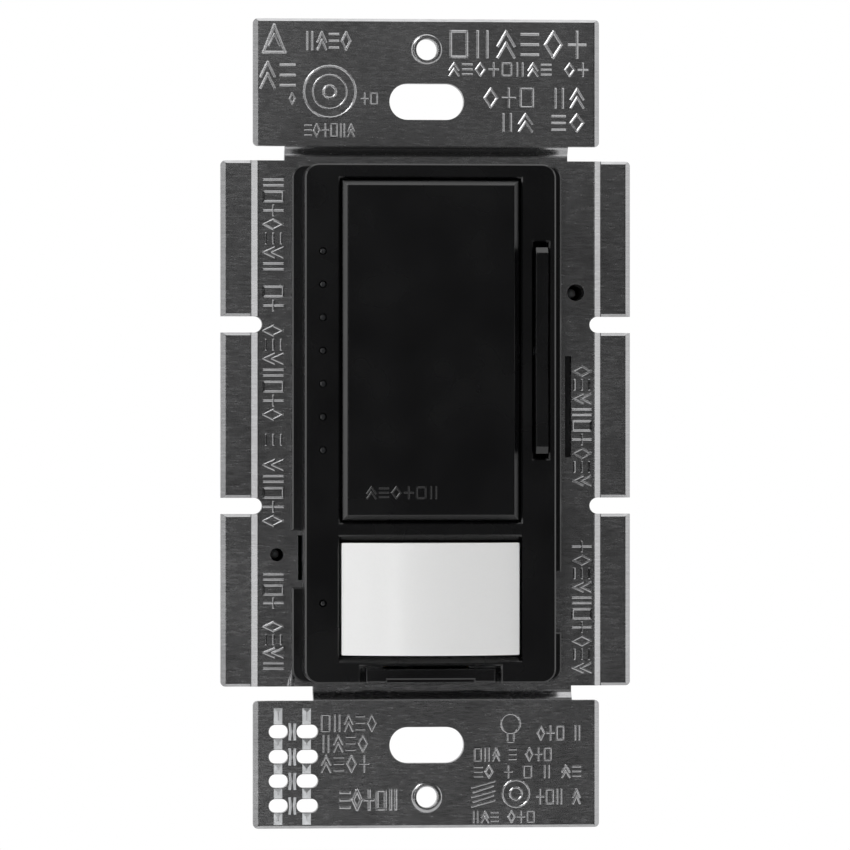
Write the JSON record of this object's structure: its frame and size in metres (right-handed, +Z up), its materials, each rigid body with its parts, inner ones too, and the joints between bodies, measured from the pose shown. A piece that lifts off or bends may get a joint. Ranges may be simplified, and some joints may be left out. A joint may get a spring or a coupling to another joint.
{
  "type": "wall dimmer with occupancy sensor",
  "caption": "Wall-box light dimmer: tap paddle, raise and lower rocker, sensor lens, service tab, metal mounting yoke and rear housing with screw terminals.",
  "frame": {"origin": "middle of the yoke on the wall plane, behind the ears", "axes": "+X right as seen from the front, +Z up, +Y into the wall"},
  "size_m": [0.0534, 0.0415, 0.1048],
  "materials": {
    "yoke_steel": "fine horizontal brushing, plated",
    "black_plastic": "satin moulded",
    "housing_plastic": "matt moulded",
    "lens_plastic": "milky translucent",
    "clear_plastic": "clear moulded",
    "board": "solder mask",
    "chip_black": "moulded epoxy",
    "tinned_steel": "zinc plated",
    "brass": "plain",
    "copper": "enamelled wire",
    "ferrite": "sintered",
    "pad": "soft thermal pad",
    "film_capacitor": "dipped",
    "capacitor_can": "shrink sleeve",
    "led_body": "epoxy",
    "green_steel": "green dyed plating"
  },
  "bodies": {
    "root": {"mounting_yoke": "yoke_steel", "front_bezel": "black_plastic", "sensor_lens": "lens_plastic", "light_pipe": "clear_plastic", "sensor_light_pipe": "clear_plastic", "switch_carrier": "housing_plastic", "paddle_hinge_rod": "tinned_steel", "rocker_pivot_pin": "tinned_steel", "control_board": "board", "status_led_1": "led_body", "status_led_2": "led_body", "status_led_3": "led_body", "status_led_4": "led_body", "status_led_5": "led_body", "status_led_6": "led_body", "status_led_7": "led_body", "sensor_led": "led_body", "paddle_switch": "chip_black", "raise_switch": "chip_black", "lower_switch": "chip_black", "motion_sensor": "tinned_steel", "motion_sensor_window": "chip_black", "microcontroller": "chip_black", "board_header": "chip_black", "power_board": "board", "power_transistor": "chip_black", "insulating_pad": "pad", "clamp_rivet": "tinned_steel", "choke_core": "ferrite", "choke_winding": "copper", "film_capacitor": "film_capacitor", "electrolytic_capacitor": "capacitor_can", "fuse": "led_body", "service_contact_line": "brass", "service_contact_load": "brass", "rear_housing": "housing_plastic", "terminal_plate_1": "brass", "terminal_plate_2": "brass", "terminal_plate_3": "brass", "terminal_plate_4": "brass", "body_screw_1": "tinned_steel", "body_screw_2": "tinned_steel"},
    "paddle": {"tap_paddle": "black_plastic"},
    "rocker": {"dimming_rocker": "black_plastic"},
    "paddle_plunger": {"paddle_plunger": "chip_black"},
    "raise_plunger": {"raise_plunger": "chip_black"},
    "lower_plunger": {"lower_plunger": "chip_black"},
    "service_slide": {"service_tab": "black_plastic", "service_contact_bridge": "brass"},
    "clamp_1": {"clamp_plate_1": "tinned_steel"},
    "screw_1": {"terminal_screw_1": "brass"},
    "clamp_2": {"clamp_plate_2": "tinned_steel"},
    "screw_2": {"terminal_screw_2": "brass"},
    "clamp_3": {"clamp_plate_3": "tinned_steel"},
    "screw_3": {"terminal_screw_3": "brass"},
    "clamp_4": {"clamp_plate_4": "tinned_steel"},
    "screw_4": {"terminal_screw_4": "green_steel"}
  },
  "joints": [
    {"name": "paddle_hinge", "type": "hinge", "parent": "root", "child": "paddle", "pos_m": [0, -0.0041, 0.0285], "axis": [1, 0, 0], "range_deg": [0, 0.86], "stiffness_Nm_per_rad": 6, "springref_deg": -0.57},
    {"name": "paddle_plunger_slide", "type": "slide", "parent": "root", "child": "paddle_plunger", "axis": [0, 1, 0], "range_m": [0, 0.00032]},
    {"name": "rocker_pivot", "type": "hinge", "parent": "root", "child": "rocker", "pos_m": [0.01425, -0.0046, 0.0094], "axis": [1, 0, 0], "range_deg": [-1.5, 1.5], "stiffness_Nm_per_rad": 0.005},
    {"name": "raise_plunger_slide", "type": "slide", "parent": "root", "child": "raise_plunger", "axis": [0, 1, 0], "range_m": [-0.00025, 0.00025]},
    {"name": "lower_plunger_slide", "type": "slide", "parent": "root", "child": "lower_plunger", "axis": [0, 1, 0], "range_m": [-0.00025, 0.00025]},
    {"name": "service_tab_slide", "type": "slide", "parent": "root", "child": "service_slide", "axis": [0, -1, 0], "range_m": [0, 0.003]},
    {"name": "clamp_1_slide", "type": "slide", "parent": "root", "child": "clamp_1", "axis": [1, 0, 0], "range_m": [0, 0.0021]},
    {"name": "terminal_screw_1_spin", "type": "hinge", "parent": "clamp_1", "child": "screw_1", "pos_m": [0.0175, 0.017, 0.026], "axis": [1, 0, 0], "range_deg": [0, 1080]},
    {"name": "clamp_2_slide", "type": "slide", "parent": "root", "child": "clamp_2", "axis": [1, 0, 0], "range_m": [0, 0.0021]},
    {"name": "terminal_screw_2_spin", "type": "hinge", "parent": "clamp_2", "child": "screw_2", "pos_m": [0.0175, 0.017, 0.001], "axis": [1, 0, 0], "range_deg": [0, 1080]},
    {"name": "clamp_3_slide", "type": "slide", "parent": "root", "child": "clamp_3", "axis": [-1, 0, 0], "range_m": [0, 0.0021]},
    {"name": "terminal_screw_3_spin", "type": "hinge", "parent": "clamp_3", "child": "screw_3", "pos_m": [-0.0175, 0.017, 0.018], "axis": [-1, 0, 0], "range_deg": [0, 1080]},
    {"name": "clamp_4_slide", "type": "slide", "parent": "root", "child": "clamp_4", "axis": [-1, 0, 0], "range_m": [0, 0.0021]},
    {"name": "terminal_screw_4_spin", "type": "hinge", "parent": "clamp_4", "child": "screw_4", "pos_m": [-0.0175, 0.017, -0.003], "axis": [-1, 0, 0], "range_deg": [0, 1080]}
  ],
  "couplings": [
    {"joint": "paddle_plunger_slide", "follows": "paddle_hinge", "m_per_rad": 0.02},
    {"joint": "raise_plunger_slide", "follows": "rocker_pivot", "m_per_rad": -0.009},
    {"joint": "lower_plunger_slide", "follows": "rocker_pivot", "m_per_rad": 0.009},
    {"joint": "terminal_screw_1_spin", "follows": "clamp_1_slide", "rad_per_m": 8976},
    {"joint": "terminal_screw_2_spin", "follows": "clamp_2_slide", "rad_per_m": 8976},
    {"joint": "terminal_screw_3_spin", "follows": "clamp_3_slide", "rad_per_m": 8976},
    {"joint": "terminal_screw_4_spin", "follows": "clamp_4_slide", "rad_per_m": 8976}
  ]
}
